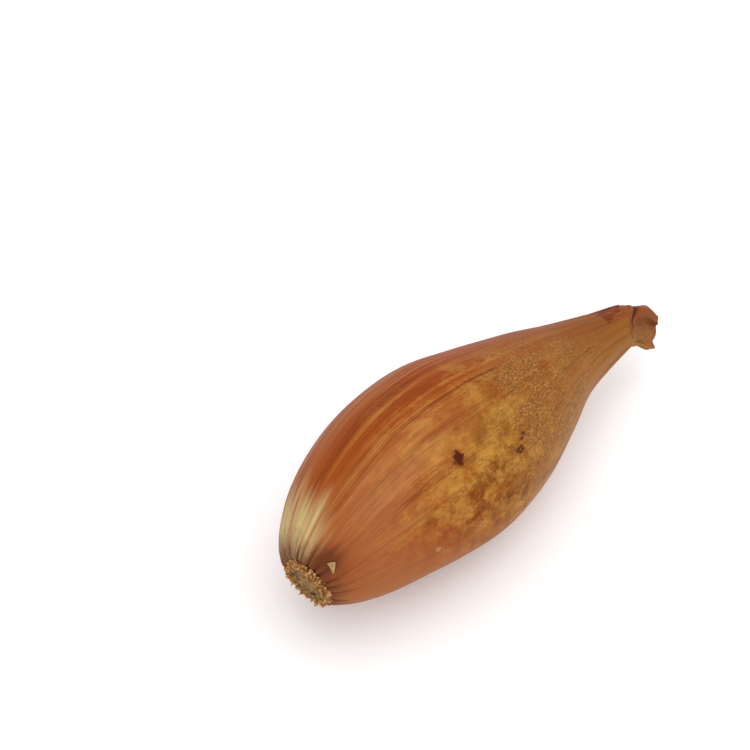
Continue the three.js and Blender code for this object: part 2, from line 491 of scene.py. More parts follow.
@dataclass(frozen=True)
class DrySkin:
    """Dry outer skin of a shallot: papery, dried and cured on the bulb.

    A thin parchment that keeps a soft satin sheen, with lengthwise veins, a fine lengthwise grain, and
    patches of copper, gold, russet and pink where it dried at different speeds.
    """

    base: str = "#a9672f"
    vein: str = "#66280b"
    roughness: tuple[float, float] = (0.38, 0.54)
    vein_spacing: float = 1.6  # on the skin's circle, about 2.8 mm on the belly
    grain_spacing: float = 0.3
    relief: float = 0.1  # the grain's height, mm
    stretch: float = 0.045  # how much slower a streak changes lengthwise than crosswise
    patches: tuple[Patch, ...] = (
        # the far side and the underside: pinker, with a mauve cast
        Patch("#a85b48", along=48, around=-98, long=60, wide=62, strength=0.75, soft=0.9, ragged=2.2),
        Patch("#a5583f", along=52, around=195, long=62, wide=80, strength=0.8, soft=0.8, ragged=2.0),
        Patch("#8a4242", along=36, around=-105, long=30, wide=34, strength=0.5, soft=0.9, ragged=3.0),
        Patch("#bb8a52", along=66, around=-120, long=22, wide=30, strength=0.5, soft=0.9, ragged=3.0),
        # tan and gold over the crown
        Patch("#ad7529", along=53, around=46, long=32, wide=60, strength=0.9, soft=0.75, ragged=1.6),
        Patch("#cb9c48", along=44, around=27, long=14, wide=21, strength=0.85, soft=0.9, ragged=1.2),
        # a paler patch with a painted highlight: the skin's broad satin sheen
        Patch("#c99352", along=31, around=24, long=14, wide=20, strength=0.8, soft=0.9, ragged=1.4),
        # salmon pink towards the root
        Patch("#ab6847", along=13, around=54, long=16, wide=64, strength=0.85, soft=0.8, ragged=1.4),
        Patch("#bd8464", along=21, around=12, long=11, wide=20, strength=0.8, soft=0.9, ragged=1.2),
        Patch("#9a5430", along=4.5, around=42, long=5, wide=34, strength=0.6, soft=0.9, ragged=1.0),
        # copper along the upper left
        Patch("#a4501d", along=44, around=-26, long=42, wide=40, strength=0.8, soft=0.8, ragged=1.6),
        Patch("#a86a3c", along=28, around=-4, long=18, wide=16, strength=0.5, soft=0.9, ragged=1.4),
        Patch("#b04a18", along=57, around=-5, long=8, wide=6, strength=0.85, soft=0.8, ragged=1.5),
        Patch("#bd7246", along=66, around=-10, long=8, wide=9, strength=0.65, soft=0.9, ragged=1.2),
        # a paler patch with a painted highlight: the skin's broad satin sheen
        Patch("#c78c5c", along=31, around=13, long=14, wide=13, strength=0.75, soft=0.9, ragged=1.5),
        Patch("#8b4b20", along=57, around=15, long=6, wide=20, strength=0.75, soft=0.9, ragged=1.6),
        # red brown low on the right
        Patch("#a25322", along=29, around=66, long=14, wide=30, strength=0.75, soft=0.9, ragged=2.5),
        Patch("#83350c", along=34, around=73, long=3.6, wide=4, strength=0.85, soft=0.8),
        Patch("#8f400c", along=31.5, around=61, long=3, wide=3, strength=0.75, soft=0.9),
        # orange brown and tan towards the neck
        Patch("#90501e", along=76, around=4, long=22, wide=56, strength=0.85, soft=0.8, ragged=1.6),
        Patch("#9f6c30", along=98, around=56, long=15, wide=60, strength=0.85, soft=0.8),
        Patch("#ad9060", along=72, around=84, long=26, wide=17, strength=0.55, soft=0.9, ragged=3.0),
        Patch("#8b5428", along=94, around=2, long=12, wide=50, strength=0.7, soft=0.9, ragged=1.2),
        # darker round the root plate; the purple brown on the right is painted shade of the pleats
        Patch("#8f6657", along=2.2, around=-32, long=3.2, wide=34, strength=0.6, soft=0.8, ragged=0.6),
        Patch("#5b2c20", along=2.6, around=24, long=3.4, wide=26, strength=0.75, soft=0.8, ragged=0.8),
    )
    marks: tuple[Patch, ...] = (
        Patch("#561810", along=35, around=36, long=1.6, wide=4.4, strength=0.95, soft=0.4, ragged=0.22),
        Patch("#5a2c12", along=52.3, around=46.5, long=0.9, wide=1.3, strength=0.9, soft=0.5, ragged=0.1),
        Patch("#5a2c12", along=51.2, around=48.6, long=0.7, wide=1.3, strength=0.8, soft=0.5, ragged=0.1),
        Patch("#46200c", along=49.6, around=53.5, long=1.35, wide=2.4, strength=0.95, soft=0.5, ragged=0.2),
        Patch("#8f6a3c", along=49.7, around=53.5, long=0.5, wide=0.9, strength=0.7, soft=0.6, ragged=0.1),
        Patch("#8a5c1c", along=49, around=36, long=1.5, wide=3.6, strength=0.6, soft=0.5, ragged=0.15),
        Patch("#cda287", along=22.2, around=82, long=0.8, wide=2.6, strength=0.6, soft=0.6, ragged=0.12),
    )

    def material(self) -> bpy.types.Material:
        """Builds the skin's material.

        Returns:
            The material.
        """
        material, node = new_material("shallot_dry_skin")
        skin = node("ShaderNodeAttribute", {"attribute_name": "skin"}).outputs["Vector"]
        body = node("ShaderNodeTexCoord").outputs["Object"]
        body = node("ShaderNodeVectorMath", {"operation": "SCALE"}, {0: body, "Scale": 1 / MM}).outputs[0]
        streaky = node(
            "ShaderNodeMapping", {"vector_type": "POINT"}, {0: skin, "Scale": (1, 1, self.stretch)}
        ).outputs[0]
        streaks = node(
            "ShaderNodeTexNoise", {}, {"Vector": streaky, "Scale": 0.55, "Detail": 5.0, "Roughness": 0.6}
        )
        ragged = node(
            "ShaderNodeVectorMath", {"operation": "SUBTRACT"}, {0: streaks.outputs["Color"], 1: MIDDLE_GREY}
        ).outputs[0]
        colour = self.tinted(node, deepened(self.base)[:3], streaks.outputs["Fac"], 0.14)
        for patch in self.patches:
            mask = self.region_mask(node, skin, ragged, patch)
            colour = node("ShaderNodeMix", RGBA, {0: mask, 6: colour, 7: deepened(patch.colour)}).outputs[2]
        colour = self.copper_streaks(node, skin, ragged, colour)
        colour = self.cream_stripes(node, skin, ragged, colour)
        colour = self.mottled(node, skin, ragged, colour)
        colour = self.russet_net(node, skin, ragged, colour)
        colour = self.reddish_window(node, skin, colour)
        colour, veins = self.veined(node, skin, colour)
        colour = self.dark_flecks(node, skin, body, ragged, colour)
        colour = self.spots(node, skin, body, colour)
        colour = self.pleat_shade(node, skin, colour)

        grain = node(
            "ShaderNodeTexNoise",
            {},
            {"Vector": streaky, "Scale": 1 / self.grain_spacing, "Detail": 4.0, "Roughness": 0.7},
        ).outputs["Fac"]
        colour = self.tinted(node, colour, grain, 0.16)
        smooth, dull = self.roughness
        rough = node("ShaderNodeMapRange", {}, {0: grain, 1: 0.3, 2: 0.7, 3: smooth, 4: dull}).outputs[0]
        relief = node(
            "ShaderNodeMath", {"operation": "MULTIPLY_ADD"}, {0: veins, 1: -1.2, 2: grain}
        ).outputs[0]
        bump = node(
            "ShaderNodeBump", {}, {"Strength": 0.3, "Distance": self.relief * MM, "Height": relief}
        ).outputs[0]
        shader = node(
            "ShaderNodeBsdfPrincipled",
            {},
            {"Base Color": colour, "Roughness": rough, "Normal": bump, "IOR": 1.4, "Specular IOR Level": 0.1},
        )
        node("ShaderNodeOutputMaterial", {}, {0: shader.outputs[0]})
        return material

    def tinted(self, node: partial, colour: Any, pattern: Socket, amount: float) -> Socket:
        """Makes a colour lighter and darker by a pattern.

        Args:
            node: add_node, bound to the material's tree.
            colour: the colour's socket or value.
            pattern: a pattern from 0 to 1.
            amount: how far its brightness swings.

        Returns:
            The new colour.
        """
        swing = node(
            "ShaderNodeMapRange", {}, {0: pattern, 1: 0.3, 2: 0.7, 3: 1 - amount, 4: 1 + amount}
        ).outputs[0]
        return node("ShaderNodeVectorMath", {"operation": "SCALE"}, {0: colour, "Scale": swing}).outputs[0]

    def drawn_noise(
        self, node: partial, place: Socket, size: tuple[float, float], detail: float, rough: float
    ) -> Socket:
        """A cloudy pattern, drawn out lengthwise when its two sizes differ.

        Args:
            node: add_node, bound to the material's tree.
            place: the coordinates that it is laid out in, in millimetres.
            size: the pattern's size crosswise and lengthwise.
            detail: how many finer layers it has.
            rough: how strong each finer layer is.

        Returns:
            The pattern, about 0.3 to 0.7.
        """
        scale = (1 / size[0], 1 / size[0], 1 / size[1])
        drawn = node("ShaderNodeVectorMath", {"operation": "MULTIPLY"}, {0: place, 1: scale}).outputs[0]
        return node(
            "ShaderNodeTexNoise", {}, {"Vector": drawn, "Scale": 1.0, "Detail": detail, "Roughness": rough}
        ).outputs["Fac"]

    def shades(self, node: partial, pattern: Socket, *stops: tuple[float, str]) -> Socket:
        """Turns a pattern into skin colours.

        Args:
            node: add_node, bound to the material's tree.
            pattern: the pattern.
            stops: (place, colour) of each stop, in order.

        Returns:
            The colour.
        """
        chart = node("ShaderNodeValToRGB", {}, {0: pattern})
        elements = chart.color_ramp.elements
        for _ in stops[2:]:
            elements.new(0.5)
        for element, (place, colour) in zip(elements, stops):
            element.position, element.color = place, deepened(colour)
        return chart.outputs[0]

    def region_mask(self, node: partial, skin: Socket, ragged: Socket, region: Region) -> Socket:
        """A mask that is up to the region's strength inside it and 0 outside.

        Args:
            node: add_node, bound to the material's tree.
            skin: the skin's own coordinates.
            ragged: a streaky pattern, each way from 0.
            region: the region.

        Returns:
            The mask.
        """
        pull = (6 * region.ragged, 6 * region.ragged, 10 * region.ragged)
        centre = skin_place(region.along, region.around)
        inverse = [1 / reach for reach in region.reach()]
        pulled = node(
            "ShaderNodeVectorMath", {"operation": "MULTIPLY_ADD"}, {0: ragged, 1: pull, 2: skin}
        ).outputs[0]
        offset = node("ShaderNodeVectorMath", {"operation": "SUBTRACT"}, {0: pulled, 1: centre}).outputs[0]
        scaled = node("ShaderNodeVectorMath", {"operation": "MULTIPLY"}, {0: offset, 1: inverse}).outputs[0]
        distance = node("ShaderNodeVectorMath", {"operation": "LENGTH"}, {0: scaled}).outputs["Value"]
        return node(
            "ShaderNodeMapRange",
            {"interpolation_type": "SMOOTHSTEP"},
            {0: distance, 1: 1 + region.soft / 2, 2: 1 - region.soft, 3: 0.0, 4: region.strength},
        ).outputs[0]

    def shown(
        self,
        node: partial,
        mask: Socket,
        pattern: Socket,
        span: tuple[float, float],
        most: float,
        least: float = 0.0,
    ) -> Socket:
        """How much of a layer shows: inside a mask, and more where a pattern crosses a span of values.

        Args:
            node: add_node, bound to the material's tree.
            mask: where the layer may show.
            pattern: the pattern.
            span: the pattern's values where the layer shows least and most.
            most: how much of it shows at the end of the span and past it.
            least: how much of it shows at the start of the span and before it.

        Returns:
            The layer's amount.
        """
        share = node(
            "ShaderNodeMapRange", {}, {0: pattern, 1: span[0], 2: span[1], 3: least, 4: most}
        ).outputs[0]
        return node("ShaderNodeMath", {"operation": "MULTIPLY"}, {0: mask, 1: share}).outputs[0]

    def copper_streaks(self, node: partial, skin: Socket, ragged: Socket, colour: Socket) -> Socket:
        """Long dark and pale streaks through the copper on the upper left.

        Args:
            node: add_node, bound to the material's tree.
            skin: the skin's own coordinates.
            ragged: a streaky pattern, each way from 0.
            colour: the colour so far.

        Returns:
            The new colour.
        """
        region = Region(along=42, around=-22, long=48, wide=52, strength=0.85, soft=0.8, ragged=1.5)
        mask = self.region_mask(node, skin, ragged, region)
        streak = self.drawn_noise(node, skin, (0.9, 60), 5.0, 0.6)
        tones = self.shades(
            node, streak, (0.36, "#7c3410"), (0.44, "#9a4717"), (0.53, "#a5511c"), (0.64, "#b9793f")
        )
        return node("ShaderNodeMix", RGBA, {0: mask, 6: colour, 7: tones}).outputs[2]

    def cream_stripes(self, node: partial, skin: Socket, ragged: Socket, colour: Socket) -> Socket:
        """Cream and faintly green stripes where the skin is thin, left of the root plate.

        Args:
            node: add_node, bound to the material's tree.
            skin: the skin's own coordinates.
            ragged: a streaky pattern, each way from 0.
            colour: the colour so far.

        Returns:
            The new colour.
        """
        region = Region(along=3, around=-34, long=9.5, wide=44, strength=1.0, soft=0.6, ragged=1.7)
        mask = self.region_mask(node, skin, ragged, region)
        stripe = self.drawn_noise(node, skin, (1.3, 26), 3.0, 0.55)
        tones = self.shades(node, stripe, (0.36, "#b7846a"), (0.47, "#cbb090"), (0.64, "#cfc192"))
        return node("ShaderNodeMix", RGBA, {0: mask, 6: colour, 7: tones}).outputs[2]

    def mottled(self, node: partial, skin: Socket, ragged: Socket, colour: Socket) -> Socket:
        """Golden and orange-brown mottling: broad over the crown, and finer on the right of the belly.

        Args:
            node: add_node, bound to the material's tree.
            skin: the skin's own coordinates.
            ragged: a streaky pattern, each way from 0.
            colour: the colour so far.

        Returns:
            The new colour.
        """
        crown = Region(along=49, around=38, long=34, wide=62, strength=0.9, soft=0.8, ragged=2.0)
        belly = Region(along=46, around=66, long=27, wide=44, strength=0.95, soft=0.8, ragged=1.5)
        crown_mask = self.region_mask(node, skin, ragged, crown)
        belly_mask = self.region_mask(node, skin, ragged, belly)
        broad = self.drawn_noise(node, skin, (4.0, 9), 8.0, 0.68)
        fine = self.drawn_noise(node, skin, (2.3, 4.2), 10.0, 0.8)
        layers = (
            (crown_mask, broad, (0.49, 0.58), 0.8, "#cb9b52"),
            (crown_mask, broad, (0.48, 0.38), 0.6, "#8c4210"),
            (belly_mask, fine, (0.49, 0.58), 0.85, "#74390c"),
            (belly_mask, fine, (0.47, 0.38), 0.8, "#cfa057"),
        )
        for mask, pattern, span, most, tone in layers:
            amount = self.shown(node, mask, pattern, span, most)
            colour = node("ShaderNodeMix", RGBA, {0: amount, 6: colour, 7: deepened(tone)}).outputs[2]
        return colour

    def russet_net(self, node: partial, skin: Socket, ragged: Socket, colour: Socket) -> Socket:
        """A rough russet net over the far half of the crown, where the skin has weathered.

        Args:
            node: add_node, bound to the material's tree.
            skin: the skin's own coordinates.
            ragged: a streaky pattern, each way from 0.
            colour: the colour so far.

        Returns:
            The new colour.
        """
        region = Region(along=68, around=38, long=25, wide=58, strength=1.0, soft=0.6, ragged=1.5)
        mask = self.region_mask(node, skin, ragged, region)
        net = self.drawn_noise(node, skin, (0.3, 0.6), 6.0, 0.8)
        tones = self.shades(node, net, (0.36, "#663a18"), (0.5, "#9c6632"), (0.64, "#c8a06a"))
        patchy = self.drawn_noise(node, skin, (3.2, 6), 4.0, 0.6)
        amount = self.shown(node, mask, patchy, (0.36, 0.54), 0.95, least=0.3)
        return node("ShaderNodeMix", RGBA, {0: amount, 6: colour, 7: tones}).outputs[2]

    def reddish_window(self, node: partial, skin: Socket, colour: Socket) -> Socket:
        """The redder skin that shows where the outermost one has come away at the neck.

        Args:
            node: add_node, bound to the material's tree.
            skin: the skin's own coordinates.
            colour: the colour so far.

        Returns:
            The new colour.
        """
        window = node("ShaderNodeAttribute", {"attribute_name": "window"}).outputs["Fac"]
        cloud = self.drawn_noise(node, skin, (2.2, 7), 3.0, 0.6)
        tones = self.shades(node, cloud, (0.38, "#6f2f14"), (0.5, "#864022"), (0.62, "#a5602f"))
        return node("ShaderNodeMix", RGBA, {0: window, 6: colour, 7: tones}).outputs[2]

    def veined(self, node: partial, skin: Socket, colour: Socket) -> tuple[Socket, Socket]:
        """Fine brown veins that run lengthwise and come and go.

        Args:
            node: add_node, bound to the material's tree.
            skin: the skin's own coordinates.
            colour: the colour so far.

        Returns:
            The new colour, and the veins' mask.
        """
        sway = node("ShaderNodeTexNoise", {}, {"Vector": skin, "Scale": 0.1, "Detail": 1.0}).outputs["Color"]
        swayed = node(
            "ShaderNodeVectorMath", {"operation": "MULTIPLY_ADD"}, {0: sway, 1: (0.5, 0.5, 0), 2: skin}
        ).outputs[0]
        field = self.drawn_noise(node, swayed, (self.vein_spacing, 400), 0.0, 0.4)
        middle = node("ShaderNodeMath", {"operation": "SUBTRACT"}, {0: field, 1: 0.5}).outputs[0]
        away = node("ShaderNodeMath", {"operation": "ABSOLUTE"}, {0: middle}).outputs[0]
        line = node(
            "ShaderNodeMapRange",
            {"interpolation_type": "SMOOTHSTEP"},
            {0: away, 1: 0.015, 2: 0.0, 3: 0.0, 4: 1.0},
        ).outputs[0]
        fade = self.drawn_noise(node, skin, (3.5, 20), 3.0, 0.6)
        veins = self.shown(node, line, fade, (0.36, 0.56), 0.7, least=0.08)
        colour = node("ShaderNodeMix", RGBA, {0: veins, 6: colour, 7: deepened(self.vein)}).outputs[2]
        return colour, veins

    def dark_flecks(
        self, node: partial, skin: Socket, body: Socket, ragged: Socket, colour: Socket
    ) -> Socket:
        """Short dark flecks on the right of the belly.

        Args:
            node: add_node, bound to the material's tree.
            skin: the skin's own coordinates.
            body: the object's coordinates, in millimetres.
            ragged: a streaky pattern, each way from 0.
            colour: the colour so far.

        Returns:
            The new colour.
        """
        flecked = Patch("#472a10", along=46, around=70, long=16, wide=30, strength=0.85, soft=0.9, ragged=2.0)
        mask = self.region_mask(node, skin, ragged, flecked)
        fine = self.drawn_noise(node, body, (0.55, 0.55), 5.0, 0.7)
        amount = self.shown(node, mask, fine, (0.57, 0.63), 1.0)
        return node("ShaderNodeMix", RGBA, {0: amount, 6: colour, 7: deepened(flecked.colour)}).outputs[2]

    def spots(self, node: partial, skin: Socket, body: Socket, colour: Socket) -> Socket:
        """The few single marks: maroon and brown spots, and one scrape.

        Args:
            node: add_node, bound to the material's tree.
            skin: the skin's own coordinates.
            body: the object's coordinates, in millimetres.
            colour: the colour so far.

        Returns:
            The new colour.
        """
        cloud = node("ShaderNodeTexNoise", {}, {"Vector": body, "Scale": 0.9, "Detail": 3.0}).outputs["Color"]
        wobble = node(
            "ShaderNodeVectorMath", {"operation": "SUBTRACT"}, {0: cloud, 1: MIDDLE_GREY}
        ).outputs[0]
        for mark in self.marks:
            mask = self.region_mask(node, skin, wobble, mark)
            colour = node("ShaderNodeMix", RGBA, {0: mask, 6: colour, 7: deepened(mark.colour)}).outputs[2]
        return colour

    def pleat_shade(self, node: partial, skin: Socket, colour: Socket) -> Socket:
        """Purple brown round the root plate: painted shade in the valleys of the pleats, faintly in the
        neck's folds too, and darker towards the plate.

        Args:
            node: add_node, bound to the material's tree.
            skin: the skin's own coordinates.
            colour: the colour so far.

        Returns:
            The new colour.
        """
        pleat = node("ShaderNodeAttribute", {"attribute_name": "pleat"}).outputs["Fac"]
        along = node("ShaderNodeSeparateXYZ", {}, {0: skin}).outputs[2]
        cloud = self.drawn_noise(node, skin, (1.6, 2.4), 4.0, 0.65)
        edge = node("ShaderNodeMath", {"operation": "MULTIPLY_ADD"}, {0: cloud, 1: -9.0, 2: along}).outputs[0]
        # darker towards the root plate, with a cloudy edge
        rootward_dark = node("ShaderNodeMapRange", {}, {0: edge, 1: -0.2, 2: -4.2, 3: 0.0, 4: 0.75}).outputs[0]
        # painted shade: darker in the valleys of the pleats and of the neck's folds
        dark = node("ShaderNodeMapRange", {}, {0: pleat, 1: 0.08, 2: 0.8, 3: 0.0, 4: 0.7}).outputs[0]
        for amount, tone in ((rootward_dark, "#6b3a28"), (dark, "#3f1d17")):
            colour = node("ShaderNodeMix", RGBA, {0: amount, 6: colour, 7: deepened(tone)}).outputs[2]
        return colour


@dataclass(frozen=True)
class MatFibre:
    """Dry, matt plant fibre, such as root cork, root stubs and withered leaf.

    It has no gloss: light sinks into its pores, and its colour runs from a dark to a pale one with the grain.
    """

    name: str
    dark: str
    middle: str
    pale: str
    roughness: float
    grain: float  # the pattern's size, mm
    relief: float  # the bump's height, mm
    cavity: str = ""  # a vertex attribute that darkens the hollows, if there is one
    # painted shade: the colour that the hollows are darkened towards
    cavity_shade: str = "#1d130c"  # in the hollows

    def material(self) -> bpy.types.Material:
        """Builds the fibre's material.

        Returns:
            The material.
        """
        material, node = new_material(self.name)
        body = node("ShaderNodeTexCoord").outputs["Object"]
        pattern = node(
            "ShaderNodeTexNoise",
            {},
            {"Vector": body, "Scale": 1 / (self.grain * MM), "Detail": 5.0, "Roughness": 0.65},
        ).outputs["Fac"]
        chart = node("ShaderNodeValToRGB", {}, {0: pattern})
        first, last = chart.color_ramp.elements
        first.position, first.color = 0.34, linear(self.dark)
        last.position, last.color = 0.68, linear(self.pale)
        chart.color_ramp.elements.new(0.5).color = linear(self.middle)
        colour = chart.outputs[0]
        if self.cavity:
            depth = node("ShaderNodeAttribute", {"attribute_name": self.cavity}).outputs["Fac"]
            colour = node("ShaderNodeMix", RGBA, {0: depth, 6: colour, 7: linear(self.cavity_shade)}).outputs[2]
        fine = node(
            "ShaderNodeTexNoise", {}, {"Vector": body, "Scale": 3 / (self.grain * MM), "Detail": 3.0}
        ).outputs["Fac"]
        bump = node(
            "ShaderNodeBump", {}, {"Strength": 0.6, "Distance": self.relief * MM, "Height": fine}
        ).outputs[0]
        shader = node(
            "ShaderNodeBsdfPrincipled",
            {},
            {"Base Color": colour, "Roughness": self.roughness, "Normal": bump, "Specular IOR Level": 0.3},
        )
        node("ShaderNodeOutputMaterial", {}, {0: shader.outputs[0]})
        return material


@dataclass(frozen=True)
class DriedLeaf:
    """Withered leaf ends at the neck, crumpled as they dried.

    Satin to matt, reddish brown on the upper fold and golden tan on the lower one, with painted shade inside,
    in the pinch between the folds and in the slit.
    """

    upper: str = "#884a20"
    lower: str = "#9d662f"
    # painted shade inside the sleeve and in the pinch between its folds
    hollow: str = "#7d5030"
    # painted shade in the slit between the skin and the leaf
    crease: str = "#4a1c0b"
    band: str = "#8b4b22"
    roughness: float = 0.5
    relief: float = 0.15  # the grain's height, mm

    def material(self) -> bpy.types.Material:
        """Builds the withered leaf's material.

        Returns:
            The material.
        """
        material, node = new_material("shallot_dried_leaf")
        body = node("ShaderNodeTexCoord").outputs["Object"]
        body = node("ShaderNodeVectorMath", {"operation": "SCALE"}, {0: body, "Scale": 1 / MM}).outputs[0]
        fold = node("ShaderNodeAttribute", {"attribute_name": "fold"}).outputs["Fac"]
        blotch = node("ShaderNodeTexNoise", {}, {"Vector": body, "Scale": 0.5, "Detail": 4.0}).outputs["Fac"]
        mixed = node("ShaderNodeMath", {"operation": "MULTIPLY_ADD"}, {0: blotch, 1: 0.7, 2: fold}).outputs[0]
        share = node(
            "ShaderNodeMapRange",
            {"interpolation_type": "SMOOTHSTEP"},
            {0: mixed, 1: 0.65, 2: 1.15, 3: 0.0, 4: 1.0},
        ).outputs[0]
        colour = node(
            "ShaderNodeMix", RGBA, {0: share, 6: linear(self.lower), 7: linear(self.upper)}
        ).outputs[2]
        # the hollow and the slit lay on painted shade; the band is the skin's own colour
        for name, tone in (("hollow", self.hollow), ("crease", self.crease), ("band", self.band)):
            where = node("ShaderNodeAttribute", {"attribute_name": name}).outputs["Fac"]
            colour = node("ShaderNodeMix", RGBA, {0: where, 6: colour, 7: linear(tone)}).outputs[2]
        grain = node(
            "ShaderNodeTexNoise", {}, {"Vector": body, "Scale": 2.2, "Detail": 4.0, "Roughness": 0.65}
        ).outputs["Fac"]
        swing = node("ShaderNodeMapRange", {}, {0: grain, 1: 0.3, 2: 0.7, 3: 0.72, 4: 1.25}).outputs[0]
        colour = node("ShaderNodeVectorMath", {"operation": "SCALE"}, {0: colour, "Scale": swing}).outputs[0]
        bump = node(
            "ShaderNodeBump", {}, {"Strength": 0.5, "Distance": self.relief * MM, "Height": grain}
        ).outputs[0]
        shader = node(
            "ShaderNodeBsdfPrincipled",
            {},
            {"Base Color": colour, "Roughness": self.roughness, "Normal": bump, "Specular IOR Level": 0.12},
        )
        node("ShaderNodeOutputMaterial", {}, {0: shader.outputs[0]})
        return material


# Cork is dull and crumbly; its pits, the groove inside its rim and its underside are darkened with painted
# shade.
CORK = MatFibre(
    "root_plate_cork", "#52391c", "#8a663b", "#ad8850", 0.95, grain=0.7, relief=0.25, cavity="pit"
)
# Dead roots dry to a pale, stringy tan.
ROOT_STUB = MatFibre("dried_root_stub", "#6b3f1b", "#b07b42", "#ddb27a", 0.9, grain=0.8, relief=0.15)
# A flake that has come off keeps little of its colour and is almost smooth.
LOOSE_SKIN = MatFibre("loose_dry_skin", "#8e6a3f", "#aa8556", "#be9c6e", 0.6, grain=1.6, relief=0.06)


# ------------------------------------------------------------------------------
# Sub-assemblies
# ------------------------------------------------------------------------------


def finish_piece(piece: bpy.types.Object, slot: Slot, *nodes: str) -> bpy.types.Object:
    """Makes a piece ride on the body and stand for its CAD nodes, and logs its slot.

    Args:
        piece: the finished piece.
        slot: the record's material slot.
        nodes: the CAD nodes that it stands for.

    Returns:
        The piece.
    """
    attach(piece, BODY)
    if nodes:
        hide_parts(*nodes)
    log.info("%s: %d faces in slot %s", piece.name, len(piece.data.polygons), slot.value)
    return piece


@dataclass
class Bulb:
    """The bulb in its dry skin."""

    form: BulbForm
    rings: int = 300
    sides: int = 264
    rim_thickness: float = 0.35  # the skin's torn end round the neck
    rim_depth: float = 3.0  # how far the mouth of the neck goes in
    seat_radius: float = 4.8  # of the shallow seat that the root plate grows from
    seat_depth: float = 0.5

    def build(self) -> bpy.types.Object:
        """Builds the bulb.

        Returns:
            The finished piece.
        """
        mesh = self.skin_mesh()
        piece = add_piece(mesh)
        apply_tree(piece, self.relief_tree(), {"Material": mesh.materials[0]})
        return finish_piece(piece, Slot.DRY_SKIN, "bulb")

    def skin_mesh(self) -> bpy.types.Mesh:
        """The smooth skin, before its relief.

        Returns:
            The mesh, with the skin's own coordinates and the window stored on it.
        """
        along, out = self.profile()
        around = np.linspace(0, 360, self.sides, endpoint=False)
        ends = self.torn_end(along[:, None], around[None, :])
        rings = self.form.point(ends, around[None, :], out[:, None])
        mesh = ring_mesh("bulb_skin", rings, DrySkin().material())
        angle = np.radians(np.broadcast_to(around[None, :], ends.shape))
        skin = np.stack([np.cos(angle) * SKIN_CIRCLE, np.sin(angle) * SKIN_CIRCLE, ends], axis=-1)
        poles = [(0, 0, float(along[0])), (0, 0, float(along[-1]))]
        store(mesh, "skin", np.vstack([skin.reshape(-1, 3), poles]))
        store(mesh, "window", np.append(Window().depth(ends, around[None, :]).ravel(), [0, 0]))
        return mesh

    def profile(self) -> tuple[np.ndarray, np.ndarray]:
        """The section that is turned: the seat at the root, the skin, and the mouth at the neck.

        Returns:
            The distances along and the radii, from pole to pole.
        """
        along, out = self.form.profile(self.rings)
        end, wall = float(out[-1]), self.rim_thickness
        seat = [(self.seat_depth, 0.3), (self.seat_depth, self.seat_radius * 0.7), (0.2, self.seat_radius)]
        seat += [(0.05, 0.5 * (self.seat_radius + float(out[0])))]
        last = self.form.skin_length
        mouth = [(0.12, end - 0.3 * wall), (0.12, end - 0.7 * wall), (-0.1, end - wall)]
        mouth += [(-0.5 * self.rim_depth, end - 1.3 * wall), (-self.rim_depth, end - 1.8 * wall)]
        mouth += [(-self.rim_depth, 0.4)]
        all_along = [a for a, _ in seat] + list(along) + [last + a for a, _ in mouth]
        all_out = [r for _, r in seat] + list(out) + [r for _, r in mouth]
        return np.array(all_along), np.array(all_out)

    def torn_end(self, along: np.ndarray, around: np.ndarray) -> np.ndarray:
        """Lets the skin's end run unevenly round the neck.

        Args:
            along: distances along the bulb.
            around: degrees round it.

        Returns:
            The distances with the neck's end pulled in and out.
        """
        angle = np.radians(around)
        edge = 3.3 * np.clip(np.cos(angle + 0.7), 0, 1) ** 2 - 0.6 + 0.25 * np.sin(5 * angle)
        reach = smoothstep(along, self.form.skin_length - 9, self.form.skin_length)
        return along + edge * reach

    def relief_tree(self) -> bpy.types.NodeTree:
        """The relief of the skin: pleats that gather at the root plate and the neck, ribs and soft swells.

        Returns:
            A geometry node tree for the smooth skin.
        """
        tree, node, given = new_geometry_tree(
            "skin_relief",
            (
                ("Pleat Count", "NodeSocketInt", 27),
                ("Pleat Depth", "NodeSocketFloat", 0.38 * MM),
                ("Pleat Reach", "NodeSocketFloat", 1.8),
                ("Neck Fold Count", "NodeSocketInt", 9),
                ("Neck Fold Depth", "NodeSocketFloat", 0.35 * MM),
                ("Neck Fold Start", "NodeSocketFloat", 74.0),
                ("Neck Fold End", "NodeSocketFloat", 101.0),
                ("Rib Depth", "NodeSocketFloat", 0.16 * MM),
                ("Skin Thickness", "NodeSocketFloat", 0.15 * MM),
                ("Swell Depth", "NodeSocketFloat", 0.8 * MM),
                ("Material", "NodeSocketMaterial", None),
            ),
        )
        skin = node("GeometryNodeInputNamedAttribute", {"data_type": "FLOAT_VECTOR"}, {0: "skin"}).outputs[0]
        window = node("GeometryNodeInputNamedAttribute", {"data_type": "FLOAT"}, {0: "window"}).outputs[0]
        root_pleat, neck_fold = self.gathers(node, given, skin)
        height = self.swells(node, given, skin)
        for hollow, depth in (
            (root_pleat, "Pleat Depth"),
            (neck_fold, "Neck Fold Depth"),
            (window, "Skin Thickness"),
        ):
            down = node(
                "ShaderNodeMath", {"operation": "MULTIPLY"}, {0: hollow, 1: given.outputs[depth]}
            ).outputs[0]
            height = node("ShaderNodeMath", {"operation": "SUBTRACT"}, {0: height, 1: down}).outputs[0]
        normal = node("GeometryNodeInputNormal").outputs[0]
        offset = node("ShaderNodeVectorMath", {"operation": "SCALE"}, {0: normal, "Scale": height}).outputs[0]
        raised = node(
            "GeometryNodeSetPosition", {}, {"Geometry": given.outputs["Geometry"], "Offset": offset}
        ).outputs[0]

